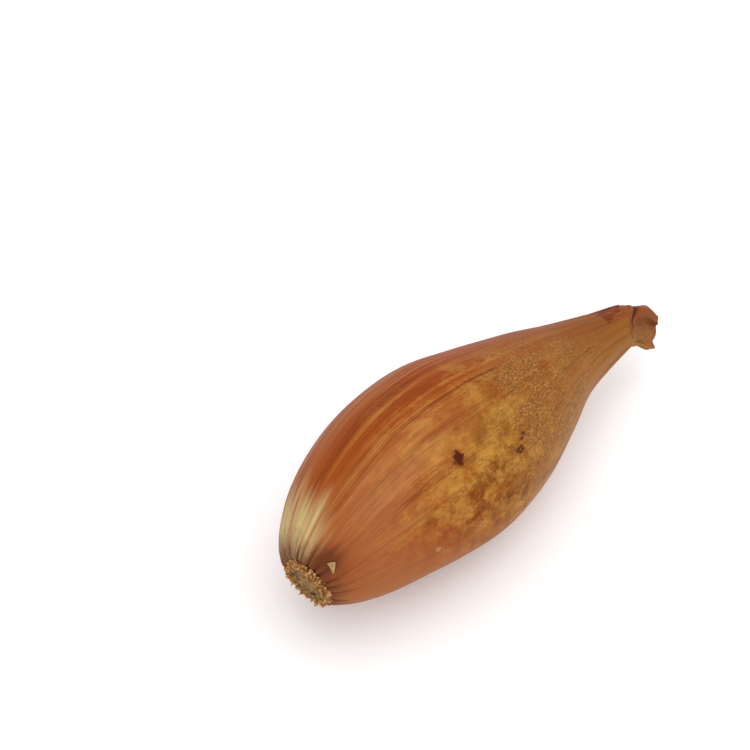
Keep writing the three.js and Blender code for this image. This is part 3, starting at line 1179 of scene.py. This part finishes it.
        # The belly is pressed flat where it would sink below the ground.
        place = node("ShaderNodeSeparateXYZ", {}, {0: node("GeometryNodeInputPosition").outputs[0]})
        above = node("ShaderNodeMath", {"operation": "MAXIMUM"}, {0: place.outputs[2], 1: 0.0}).outputs[0]
        rested = node(
            "ShaderNodeCombineXYZ", {}, {0: place.outputs[0], 1: place.outputs[1], 2: above}
        ).outputs[0]
        lying = node("GeometryNodeSetPosition", {}, {"Geometry": raised, "Position": rested}).outputs[0]
        # the valleys of the pleats, and faintly of the neck's folds, kept for the skin's painted shade
        faint = node("ShaderNodeMath", {"operation": "MULTIPLY"}, {0: neck_fold, 1: 0.35}).outputs[0]
        valley_shade = node("ShaderNodeMath", {"operation": "MAXIMUM"}, {0: faint, 1: root_pleat}).outputs[0]
        stored = node(
            "GeometryNodeStoreNamedAttribute",
            {"data_type": "FLOAT", "domain": "POINT"},
            {"Geometry": lying, "Name": "pleat", "Value": valley_shade},
        ).outputs[0]
        real = node("GeometryNodeRealizeInstances", {}, {0: stored}).outputs[0]
        dressed = node(
            "GeometryNodeSetMaterial", {}, {"Geometry": real, "Material": given.outputs["Material"]}
        ).outputs[0]
        node("NodeGroupOutput", {}, {0: dressed})
        return tree

    def gathers(self, node: partial, given: bpy.types.Node, skin: Socket) -> tuple[Socket, Socket]:
        """The pleats that gather at the root plate and the folds that gather at the neck.

        Args:
            node: add_node, bound to the relief's tree.
            given: the tree's group input node.
            skin: the skin's own coordinates.

        Returns:
            The pleats and the folds, each from 0 on the open skin to 1 in the middle of a valley.
        """
        round_only = node("ShaderNodeVectorMath", {"operation": "MULTIPLY"}, {0: skin, 1: (1, 1, 0.12)})
        wander, uneven = (
            node(
                "ShaderNodeTexNoise", {}, {"Vector": round_only.outputs[0], "Scale": scale, "Detail": detail}
            ).outputs["Fac"]
            for scale, detail in ((0.16, 2.0), (0.45, 1.0))
        )
        pleats = self.valleys(node, skin, wander, given.outputs["Pleat Count"], 9.0)
        folds = self.valleys(node, skin, wander, given.outputs["Neck Fold Count"], 5.0)

        along = node("ShaderNodeSeparateXYZ", {}, {0: skin}).outputs[2]
        spread = node(
            "ShaderNodeMapRange", {"clamp": False}, {0: uneven, 1: 0.3, 2: 0.7, 3: 0.4, 4: 1.9}
        ).outputs[0]
        reach = node(
            "ShaderNodeMath", {"operation": "MULTIPLY"}, {0: spread, 1: given.outputs["Pleat Reach"]}
        ).outputs[0]
        far = node("ShaderNodeMath", {"operation": "DIVIDE"}, {0: along, 1: reach}).outputs[0]
        fall = node("ShaderNodeMath", {"operation": "MULTIPLY"}, {0: far, 1: -1.0}).outputs[0]
        near_root = node("ShaderNodeMath", {"operation": "EXPONENT", "use_clamp": True}, {0: fall}).outputs[0]
        start, end = given.outputs["Neck Fold Start"], given.outputs["Neck Fold End"]
        near_neck = node(
            "ShaderNodeMapRange",
            {"interpolation_type": "SMOOTHSTEP"},
            {0: along, 1: start, 2: end, 3: 0.0, 4: 1.0},
        ).outputs[0]
        root_pleat = node("ShaderNodeMath", {"operation": "MULTIPLY"}, {0: pleats, 1: near_root}).outputs[0]
        neck_fold = node("ShaderNodeMath", {"operation": "MULTIPLY"}, {0: folds, 1: near_neck}).outputs[0]
        return root_pleat, neck_fold

    def valleys(self, node: partial, skin: Socket, wander: Socket, count: Socket, sway: float) -> Socket:
        """Narrow valleys between rounded pleats, all round the bulb.

        Args:
            node: add_node, bound to the relief's tree.
            skin: the skin's own coordinates.
            wander: a soft pattern that moves the valleys.
            count: how many valleys there are.
            sway: how far the pattern moves them, in radians of the wave they are cut from.

        Returns:
            0 on a pleat and 1 in the middle of a valley.
        """
        split = node("ShaderNodeSeparateXYZ", {}, {0: skin})
        angle = node(
            "ShaderNodeMath", {"operation": "ARCTAN2"}, {0: split.outputs[1], 1: split.outputs[0]}
        ).outputs[0]
        half = node("ShaderNodeMath", {"operation": "MULTIPLY"}, {0: count, 1: 0.5}).outputs[0]
        phase = node("ShaderNodeMath", {"operation": "MULTIPLY"}, {0: angle, 1: half}).outputs[0]
        moved = node(
            "ShaderNodeMath", {"operation": "MULTIPLY_ADD"}, {0: wander, 1: sway, 2: phase}
        ).outputs[0]
        wave = node("ShaderNodeMath", {"operation": "SINE"}, {0: moved}).outputs[0]
        height = node("ShaderNodeMath", {"operation": "ABSOLUTE"}, {0: wave}).outputs[0]
        low = node("ShaderNodeMath", {"operation": "SUBTRACT"}, {0: 1.0, 1: height}).outputs[0]
        return node("ShaderNodeMath", {"operation": "POWER"}, {0: low, 1: 1.6}).outputs[0]

    def swells(self, node: partial, given: bpy.types.Node, skin: Socket) -> Socket:
        """The lengthwise ribs and the broad soft swells of the skin.

        Args:
            node: add_node, bound to the relief's tree.
            given: the tree's group input node.
            skin: the skin's own coordinates.

        Returns:
            The height outwards, in metres.
        """
        heights = []
        for depth, slow, scale, detail in (("Rib Depth", 0.05, 0.5, 3.0), ("Swell Depth", 0.5, 0.07, 1.5)):
            drawn = node("ShaderNodeVectorMath", {"operation": "MULTIPLY"}, {0: skin, 1: (1, 1, slow)})
            pattern = node(
                "ShaderNodeTexNoise", {}, {"Vector": drawn.outputs[0], "Scale": scale, "Detail": detail}
            ).outputs["Fac"]
            centred = node("ShaderNodeMath", {"operation": "SUBTRACT"}, {0: pattern, 1: 0.5}).outputs[0]
            heights.append(
                node(
                    "ShaderNodeMath", {"operation": "MULTIPLY"}, {0: centred, 1: given.outputs[depth]}
                ).outputs[0]
            )
        return node("ShaderNodeMath", {"operation": "ADD"}, {0: heights[0], 1: heights[1]}).outputs[0]


@dataclass(frozen=True)
class StubRow:
    """One row of root stubs round the plate."""

    count: int
    ring: float  # the row's radius
    height: float  # of its foot, above the plate's seat
    length: float
    width: float
    splay: float  # degrees that the stubs lean out
    seed: int


@dataclass
class RootPlate:
    """The corky root plate and its crown of root stubs."""

    form: BulbForm
    right: float = 1.0  # how far right of the middle of the bulb's end it grows
    radius: float = 5.95
    depth: float = 1.0
    dish: float = 0.5
    pit_depth: float = 0.4
    face: float = 4.0  # the radius of the dish inside the rim
    pit_count: int = 60
    fray: float = 0.9  # how far the stubs' surface is pulled out of shape
    rows: tuple[StubRow, ...] = (
        StubRow(count=58, ring=5.5, height=0.1, length=0.95, width=0.44, splay=98, seed=3),
        StubRow(count=56, ring=5.3, height=0.45, length=0.95, width=0.44, splay=86, seed=11),
        StubRow(count=46, ring=4.85, height=0.75, length=0.85, width=0.38, splay=62, seed=5),
        StubRow(count=34, ring=4.35, height=0.75, length=0.65, width=0.32, splay=36, seed=8),
    )

    def placing(self) -> Matrix:
        """How the plate is moved from its own frame, where it faces +Z, to its seat on the bulb.

        Returns:
            The matrix.
        """
        centre, forward, right, up = (Vector(v) for v in self.form.axes(0.0))
        turn = Matrix((right, up, right.cross(up))).transposed().to_4x4()
        if turn.col[2].to_3d().dot(forward) > 0:
            turn = Matrix((right, -up, right.cross(-up))).transposed().to_4x4()
        return Matrix.Translation((centre + right * self.right) * MM) @ turn

    def build(self) -> list[bpy.types.Object]:
        """Builds the plate and its stubs.

        Returns:
            The finished pieces.
        """
        place = self.placing()
        disc = add_piece(self.disc_mesh())
        disc.data.transform(place)
        stubs = add_piece(bpy.data.meshes.new("root_stubs"))
        tree = self.stub_tree()
        parts = []
        for row in self.rows:
            piece = add_piece(bpy.data.meshes.new("stub_row"))
            values = {
                "Count": row.count,
                "Ring Radius": row.ring * MM,
                "Height": row.height * MM,
                "Length": row.length * MM,
                "Width": row.width * MM,
                "Splay": math.radians(row.splay),
                "Seed": row.seed,
                "Material": stub_material(),
            }
            apply_tree(piece, tree, values)
            parts.append(piece)
        join_into(stubs, parts)
        stubs.data.transform(place)
        return [
            finish_piece(disc, Slot.CORK_AND_ROOTS, "root_plate"),
            finish_piece(stubs, Slot.CORK_AND_ROOTS),
        ]

    def disc_mesh(self) -> bpy.types.Mesh:
        """The corky disc, with a dished, pitted face.

        Returns:
            The mesh, in the plate's own frame.
        """
        rings, sides = 40, 132
        share = np.linspace(0.03, 1, rings)[:, None]
        angle = np.linspace(0, 2 * math.pi, sides, endpoint=False)[None, :]
        out = self.radius * share * (1 + 0.03 * np.sin(3 * angle + 1) * share)
        pits = self.pitting(out, angle)
        inside = np.clip(share * self.radius / self.face, 0, 1)
        over = np.clip((share * self.radius - self.face) / (self.radius - self.face), 0, 1)
        high = (self.depth - self.dish * (1 - inside**2)) * np.sqrt(1 - 0.98 * over**3)
        high = high - self.pit_depth * pits + 0.12 * np.sin(22 * angle + 2 * np.sin(3 * angle)) * over
        face = np.stack([out * np.cos(angle), out * np.sin(angle), high + 0 * angle], axis=-1)
        foot = face[-1] * (0.97, 0.97, 0) + (0, 0, -0.25)
        under = face[-1] * (0.1, 0.1, 0) + (0, 0, -0.5)
        points = np.concatenate([face, foot[None], under[None]])
        mesh = ring_mesh("root_plate_cork", points, CORK.material())
        # painted shade: darker in the pits, in the groove between the dish and the rim, and under the disc
        between = smoothstep(out, self.face - 0.3, self.face + 0.3) * 0.35
        shade = np.maximum(pits * 0.85, between).ravel()
        store(mesh, "pit", np.append(shade, np.full(len(mesh.vertices) - shade.size, 0.6)))
        return mesh

    def pitting(self, out: np.ndarray, angle: np.ndarray) -> np.ndarray:
        """Where dead roots have left pits in the cork.

        Args:
            out: distances from the plate's middle.
            angle: radians round it.

        Returns:
            0 on the cork and up to 1 in a pit.
        """
        random = np.random.default_rng(21)
        x, y = out * np.cos(angle), out * np.sin(angle)
        pits = np.zeros_like(x)
        for _ in range(self.pit_count):
            distance = self.face * math.sqrt(random.uniform(0.3, 1.1))
            turn, size = random.uniform(0, 2 * math.pi), random.uniform(0.18, 0.42)
            away = np.hypot(x - distance * math.cos(turn), y - distance * math.sin(turn))
            pits = np.maximum(pits, np.exp(-((away / size) ** 2)) * random.uniform(0.5, 1))
        return pits

    def stub_tree(self) -> bpy.types.NodeTree:
        """A ring of frayed root stubs that lean out of the plate.

        Returns:
            A geometry node tree that makes one row.
        """
        tree, node, given = new_geometry_tree(
            "root_stub_row",
            (
                ("Count", "NodeSocketInt", 24),
                ("Ring Radius", "NodeSocketFloat", 4 * MM),
                ("Height", "NodeSocketFloat", 1 * MM),
                ("Length", "NodeSocketFloat", 2 * MM),
                ("Width", "NodeSocketFloat", 0.5 * MM),
                ("Splay", "NodeSocketFloat", 0.9),
                ("Seed", "NodeSocketInt", 0),
                ("Material", "NodeSocketMaterial", None),
            ),
        )
        count, seed, width = (given.outputs[name] for name in ("Count", "Seed", "Width"))
        ring = node(
            "GeometryNodeMeshCircle", {}, {"Vertices": count, "Radius": given.outputs["Ring Radius"]}
        ).outputs[0]
        tip = node("ShaderNodeMath", {"operation": "MULTIPLY"}, {0: width, 1: 0.45}).outputs[0]
        stub = node(
            "GeometryNodeMeshCone",
            {},
            {
                "Vertices": 9,
                "Side Segments": 7,
                "Fill Segments": 2,
                "Radius Top": tip,
                "Radius Bottom": width,
                "Depth": given.outputs["Length"],
            },
        ).outputs[0]
        jitter = node(
            "FunctionNodeRandomValue",
            {"data_type": "FLOAT_VECTOR"},
            {0: (-0.26, -0.4, -0.2), 1: (0.26, 0.4, 0.25), "Seed": seed},
        ).outputs[0]
        aside = node("ShaderNodeVectorMath", {"operation": "SCALE"}, {0: jitter, "Scale": MM}).outputs[0]
        foot = node("ShaderNodeCombineXYZ", {}, {2: given.outputs["Height"]}).outputs[0]
        step = node("ShaderNodeVectorMath", {"operation": "ADD"}, {0: aside, 1: foot}).outputs[0]
        scattered = node("GeometryNodeSetPosition", {}, {"Geometry": ring, "Offset": step}).outputs[0]
        level = node(
            "ShaderNodeVectorMath",
            {"operation": "MULTIPLY"},
            {0: node("GeometryNodeInputPosition").outputs[0], 1: (1, 1, 0)},
        ).outputs[0]
        outward = node("ShaderNodeVectorMath", {"operation": "NORMALIZE"}, {0: level}).outputs[0]
        lean = node(
            "FunctionNodeRandomValue",
            {"data_type": "FLOAT"},
            {2: 0.75, 3: 1.15, "Seed": seed},
        ).outputs[1]
        splay = node(
            "ShaderNodeMath", {"operation": "MULTIPLY"}, {0: lean, 1: given.outputs["Splay"]}
        ).outputs[0]
        rise = node("ShaderNodeMath", {"operation": "COSINE"}, {0: splay}).outputs[0]
        spread = node("ShaderNodeMath", {"operation": "SINE"}, {0: splay}).outputs[0]
        flat = node("ShaderNodeVectorMath", {"operation": "SCALE"}, {0: outward, "Scale": spread}).outputs[0]
        axis = node(
            "ShaderNodeVectorMath",
            {"operation": "ADD"},
            {0: flat, 1: node("ShaderNodeCombineXYZ", {}, {2: rise}).outputs[0]},
        ).outputs[0]
        sway = node(
            "FunctionNodeRandomValue",
            {"data_type": "FLOAT_VECTOR"},
            {0: (-0.4, -0.4, -0.2), 1: (0.4, 0.4, 0.2), "Seed": count},
        ).outputs[0]
        axis = node("ShaderNodeVectorMath", {"operation": "ADD"}, {0: axis, 1: sway}).outputs[0]
        turn = node("FunctionNodeAlignRotationToVector", {"axis": "Z"}, {"Vector": axis}).outputs[0]
        size = node(
            "FunctionNodeRandomValue",
            {"data_type": "FLOAT_VECTOR"},
            {0: (0.7, 0.7, 0.55), 1: (1.35, 1.1, 1.25), "Seed": seed},
        ).outputs[0]
        planted = node(
            "GeometryNodeInstanceOnPoints",
            {},
            {"Points": scattered, "Instance": stub, "Rotation": turn, "Scale": size},
        ).outputs[0]
        real = node("GeometryNodeRealizeInstances", {}, {0: planted}).outputs[0]
        rough = node("ShaderNodeTexNoise", {}, {"Scale": 1.1 / MM, "Detail": 3.0}).outputs["Color"]
        swing = node("ShaderNodeVectorMath", {"operation": "SUBTRACT"}, {0: rough, 1: MIDDLE_GREY}).outputs[0]
        fray = node(
            "ShaderNodeVectorMath", {"operation": "SCALE"}, {0: swing, "Scale": self.fray * MM}
        ).outputs[0]
        frayed = node("GeometryNodeSetPosition", {}, {"Geometry": real, "Offset": fray}).outputs[0]
        dressed = node(
            "GeometryNodeSetMaterial", {}, {"Geometry": frayed, "Material": given.outputs["Material"]}
        ).outputs[0]
        node("NodeGroupOutput", {}, {0: dressed})
        return tree


def stub_material() -> bpy.types.Material:
    """The root stubs' material, made once."""
    return bpy.data.materials.get(ROOT_STUB.name) or ROOT_STUB.material()


def join_into(target: bpy.types.Object, parts: Sequence[bpy.types.Object]) -> None:
    """Joins objects into one mesh and removes them.

    Args:
        target: the object that gets the joined mesh.
        parts: the objects to join.
    """
    with bpy.context.temp_override(active_object=target, selected_editable_objects=[target, *parts]):
        bpy.ops.object.join()
    target.data.shade_smooth()


@dataclass
class DryNeck:
    """The withered leaf ends: a crumpled sleeve, flattened so that it stands on edge, open at its mouth."""

    form: BulbForm
    heading: tuple[float, float, float] = (0.6, -0.64, -0.64)
    length: float = 12.2
    tuck: float = 2.6  # how far it reaches back into the skin
    base: tuple[float, float] = (5.0, 4.6)  # half its height and half its thickness at the skin's end
    mouth: tuple[float, float] = (5.5, 3.2)
    lean: float = 16.0  # degrees that its tall side leans left
    pinch: float = 0.62  # how far its sides press in between the upper and the lower fold
    rim_wave: float = 0.2  # how far both folds reach past the middle of the mouth
    overhang: float = 0.9  # how far the upper fold reaches past the lower one
    droop: float = 0.8  # how far its mouth sinks
    rounding: float = 1.0  # how far the corners of its mouth draw in
    band_lift: float = 0.4  # how far the skin that laps over it stands out
    slit_depth: float = 0.35
    wall: float = 0.4
    rings: int = 60
    sides: int = 128

    def build(self) -> bpy.types.Object:
        """Builds the sleeve.

        Returns:
            The finished piece.
        """
        around = np.linspace(0, 2 * math.pi, self.sides, endpoint=False)[None, :]
        outer = np.linspace(-self.tuck / self.length, 1, self.rings)[:, None]
        inner = np.linspace(1, 0.35, self.rings // 2)[:, None]
        outside = self.sleeve(outer, around, 0.0)
        inside = self.sleeve(inner, around, self.wall)
        rings = np.concatenate([outside, inside])
        mesh = ring_mesh("dry_neck_leaf", rings, DriedLeaf().material())
        fold = smoothstep(np.cos(around), -0.25, 0.45)
        # painted shade, as the hollow mask: in the pinch between the folds, deepening inside the sleeve
        pressed = 0.5 * np.sin(around) ** 6 * smoothstep(outer, 0.1, 0.5)
        dark_inside = 0.4 + 0.6 * smoothstep(1 - inner, 0.0, 0.3)
        # Each mask's name, its values outside and inside the sleeve, and at the two poles.
        for name, outer_values, inner_values, poles in (
            ("band", self.band(outer, around), 0, (0, 0)),
            ("crease", self.slit(outer, around), 0, (0, 1)),
            ("fold", fold, fold, (0.5, 0.5)),
            ("hollow", pressed, dark_inside, (0, 1)),
        ):
            values = np.zeros((len(rings), self.sides))
            values[: self.rings], values[self.rings :] = outer_values, inner_values
            store(mesh, name, np.append(values.ravel(), poles))
        return finish_piece(add_piece(mesh), Slot.DRIED_LEAF, "dry_neck")

    def slit_place(self, around: np.ndarray) -> np.ndarray:
        """Where the slit between the skin and the leaf crosses the sleeve, as a share of its length."""
        return 0.08 + 0.3 * smoothstep(np.cos(around + 0.45), 0.1, 0.95)

    def slit(self, share: np.ndarray, around: np.ndarray) -> np.ndarray:
        """The slit between the skin and the leaf, sunk into the sleeve and darkened with painted shade.

        Args:
            share: 0 at the skin's end and 1 at the mouth.
            around: radians round the sleeve.

        Returns:
            1 in the middle of the slit, and 0 away from it.
        """
        wide = 0.035 + 0.05 * smoothstep(np.cos(around + 0.3), 0.2, 0.9)
        strip = np.exp(-(((share - self.slit_place(around) - 0.05) / wide) ** 2))
        return strip * smoothstep(np.cos(around), 0.0, 0.45)

    def band(self, share: np.ndarray, around: np.ndarray) -> np.ndarray:
        """Where the skin still lies over the sleeve, from 0 to 1."""
        before_slit = smoothstep(self.slit_place(around) - share, -0.01, 0.02)
        return before_slit * smoothstep(np.cos(around), -0.5, 0.1)

    def sleeve(self, share: np.ndarray, around: np.ndarray, inset: float) -> np.ndarray:
        """Points on the sleeve.

        Args:
            share: 0 at the skin's end and 1 at the mouth.
            around: radians round it from its upper edge, towards the side that faces right.
            inset: how far inside the outer surface.

        Returns:
            The points, in millimetres.
        """
        centre, forward, right, up = self.form.axes(self.form.skin_length)
        heading = np.array(self.heading) / np.linalg.norm(self.heading)
        bend, half = np.clip(share, 0, 1)[..., None], self.length / 2
        straight = np.minimum(share, 0)[..., None] * self.length
        path = centre + forward * (2 * bend * (1 - bend) * half + bend**2 * half + straight)
        path = path + heading * (bend**2 * half)
        tangent = forward * (1 - bend) + heading * bend
        tall = up * math.cos(math.radians(self.lean)) - right * math.sin(math.radians(self.lean))
        thick = np.cross(tangent, tall)
        thick = thick / np.linalg.norm(thick, axis=-1, keepdims=True)
        grow = smoothstep(share, 0, 1)
        height = self.base[0] + (self.mouth[0] - self.base[0]) * grow - inset
        height = height - self.rounding * smoothstep(share, 0.7, 1.0) ** 2
        depth = self.base[1] + (self.mouth[1] - self.base[1]) * grow - inset
        pressed = smoothstep(share, 0.05, 0.5) * smoothstep(np.abs(np.sin(around)), 0.6, 0.9)
        depth = depth * (1 - self.pinch * pressed)
        lapped, sunk = self.band_lift * self.band(share, around), self.slit_depth * self.slit(share, around)
        crumple = self.crumple(share, around) + lapped - sunk
        reach = self.rim_wave * np.cos(2 * around) + self.overhang * np.cos(around)
        along = (reach + 0.2 * np.sin(5 * around + 1) + 0.12 * np.sin(9 * around)) * grow
        return (
            path
            + forward * along[..., None]
            + tall * (np.cos(around) * (height + crumple) - self.droop * grow)[..., None]
            + thick * (np.sin(around) * (depth + crumple))[..., None]
        )

    def crumple(self, share: np.ndarray, around: np.ndarray) -> np.ndarray:
        """How far the crumpled leaf stands in or out.

        Args:
            share: 0 at the skin's end and 1 at the mouth.
            around: radians round the sleeve.

        Returns:
            Millimetres outwards.
        """
        waves = (
            0.22 * np.sin(3 * around + 2.5 * share + 0.4)
            + 0.2 * np.sin(7 * around - 4 * share + 1.9)
            + 0.12 * np.sin(12 * around + 6 * share)
        )
        creases = 0.22 * np.sin(11 * share + 1.5 * np.sin(2 * around)) * np.clip(share, 0, 1)
        return (waves + creases) * smoothstep(share, -0.05, 0.45)


@dataclass
class SkinFlake:
    """A small flake of dry skin, lying loose beside the root plate."""

    form: BulbForm
    along: float = 2.47  # the place on the skin whose slope it lies in
    around: float = 39.0
    width: float = 1.8
    length: float = 2.5
    thickness: float = 0.22
    curl: float = 0.2
    turn: float = 60.0  # degrees that its point turns from the root plate towards the right
    # Its torn corners: (share of width, share of length).
    corners: tuple[tuple[float, float], ...] = (
        (-0.1, -0.5),
        (0.16, -0.48),
        (0.36, 0.0),
        (0.5, 0.44),
        (0.0, 0.5),
        (-0.5, 0.42),
        (-0.26, 0.0),
    )
    side_steps: int = 6
    steps: int = 12

    def build(self) -> bpy.types.Object:
        """Builds the flake.

        Returns:
            The finished piece.
        """
        low, high = (np.array(corner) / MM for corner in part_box("skin_flake"))
        centre = (low + high) / 2
        here, before, after = (self.form.on_skin(self.along + step, self.around) for step in (0, -1.5, 1.5))
        lengthwise = (after - before) / np.linalg.norm(after - before)
        across = self.form.on_skin(self.along, self.around + 2) - here
        across /= np.linalg.norm(across)
        outward = np.cross(across, lengthwise)
        outline = self.outline()
        # Down one face from its middle to its edge, and back under the other, which is a little smaller.
        growing = np.linspace(0.02, 1, self.steps)
        rings = []
        for side, sizes in ((1, growing), (-1, growing[::-1] * 0.99)):
            for size in sizes:
                flat = outline * size
                bent = self.curl * (flat[:, 0] ** 2 + 0.5 * flat[:, 1] ** 2) / 4
                lift = side * self.thickness / 2 + bent
                level = centre + flat[:, :1] * across + flat[:, 1:] * lengthwise
                rings.append(level + lift[:, None] * outward)
        mesh = ring_mesh("skin_flake_chip", np.array(rings), LOOSE_SKIN.material())
        return finish_piece(add_piece(mesh), Slot.LOOSE_SKIN, "skin_flake")

    def outline(self) -> np.ndarray:
        """Its torn outline.

        Returns:
            Points along its straight sides, turned to its place, in millimetres.
        """
        corners = np.array(self.corners) * (self.width, self.length)
        share = np.arange(self.side_steps)[:, None] / self.side_steps
        sides = [a + (b - a) * share for a, b in zip(corners, np.roll(corners, -1, axis=0))]
        cosine, sine = math.cos(math.radians(self.turn)), math.sin(math.radians(self.turn))
        return np.concatenate(sides) @ np.array([(cosine, sine), (-sine, cosine)])


@dataclass(frozen=True)
class SoftLight:
    """A soft square light that faces the bulb."""

    name: str
    place: tuple[float, float, float]
    width: float
    power: float  # watts


@dataclass
class Studio:
    """The pale floor, the soft lights and the camera."""

    azimuth: float = -48.0
    elevation: float = 50.0
    distance: float = 440.0
    lens: float = 90.1
    # What the camera looks at, from the low corner of the bulb's box.
    aim: tuple[float, float, float] = (54.74, 51.02, 16.36)
    lights: tuple[SoftLight, ...] = (
        SoftLight("overhead", (120, -140, 1000), width=1300, power=5.7),
        SoftLight("front_left", (-700, -250, 520), width=600, power=1.0),
    )
    room_light: float = 0.74
    floor_reach: float = 3000.0
    floor_glow: float = 0.08  # lifts the paper to the white of a lit background

    def build(self) -> None:
        """Builds the floor, the lights, the world and the camera."""
        self.floor()
        self.room()
        for light in self.lights:
            self.hang(light)
        self.camera()
        bpy.context.scene.view_settings.view_transform = "Standard"

    def floor(self) -> None:
        """A wide white floor."""
        reach = self.floor_reach * MM
        corners = [(-reach, -reach, 0), (reach, -reach, 0), (reach, reach, 0), (-reach, reach, 0)]
        mesh = bpy.data.meshes.new("floor")
        mesh.from_pydata(corners, [], [(0, 1, 2, 3)])
        material, node = new_material("white_paper_floor")
        shader = node(
            "ShaderNodeBsdfPrincipled",
            {},
            {
                "Base Color": linear("#fcfcfc"),
                "Roughness": 1.0,
                "Emission Color": linear("#ffffff"),
                "Emission Strength": self.floor_glow,
            },
        )
        node("ShaderNodeOutputMaterial", {}, {0: shader.outputs[0]})
        mesh.materials.append(material)
        add_piece(mesh)

    def room(self) -> None:
        """Fills the room with even white light."""
        world = bpy.data.worlds.new("white_room")
        world.use_nodes = True
        world.node_tree.nodes.clear()
        node = partial(add_node, world.node_tree)
        sky = node("ShaderNodeBackground", {}, {"Color": linear("#ffffff"), "Strength": self.room_light})
        node("ShaderNodeOutputWorld", {}, {0: sky.outputs[0]})
        bpy.context.scene.world = world

    def hang(self, light: SoftLight) -> None:
        """Hangs a light and turns it to the bulb.

        Args:
            light: the light's name, place, width and power.
        """
        data = bpy.data.lights.new(light.name, "AREA")
        data.size, data.energy = light.width * MM, light.power
        lamp = bpy.data.objects.new(light.name, data)
        bpy.context.scene.collection.objects.link(lamp)
        lamp.location = Vector(light.place) * MM
        lamp.rotation_euler = (-lamp.location).to_track_quat("-Z", "Y").to_euler()

    def camera(self) -> None:
        """Adds the camera."""
        data = bpy.data.cameras.new("camera")
        data.lens = self.lens
        camera = bpy.data.objects.new("camera", data)
        bpy.context.scene.collection.objects.link(camera)
        a, e = math.radians(self.azimuth), math.radians(self.elevation)
        back = Vector((math.sin(a) * math.cos(e), -math.cos(a) * math.cos(e), math.sin(e)))
        aim = Vector(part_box("bulb")[0]) + Vector(self.aim) * MM
        camera.location = aim + back * self.distance * MM
        camera.rotation_euler = (-back).to_track_quat("-Z", "Y").to_euler()
        data.clip_start, data.clip_end = 0.01, 20.0
        bpy.context.scene.camera = camera


def main() -> None:
    """Builds the shallot and its studio."""
    logging.basicConfig(level=logging.INFO, format="%(name)s: %(message)s")
    Studio().build()
    form = BulbForm()
    Bulb(form).build()
    RootPlate(form).build()
    DryNeck(form).build()
    SkinFlake(form).build()


if __name__ == "__main__":
    main()
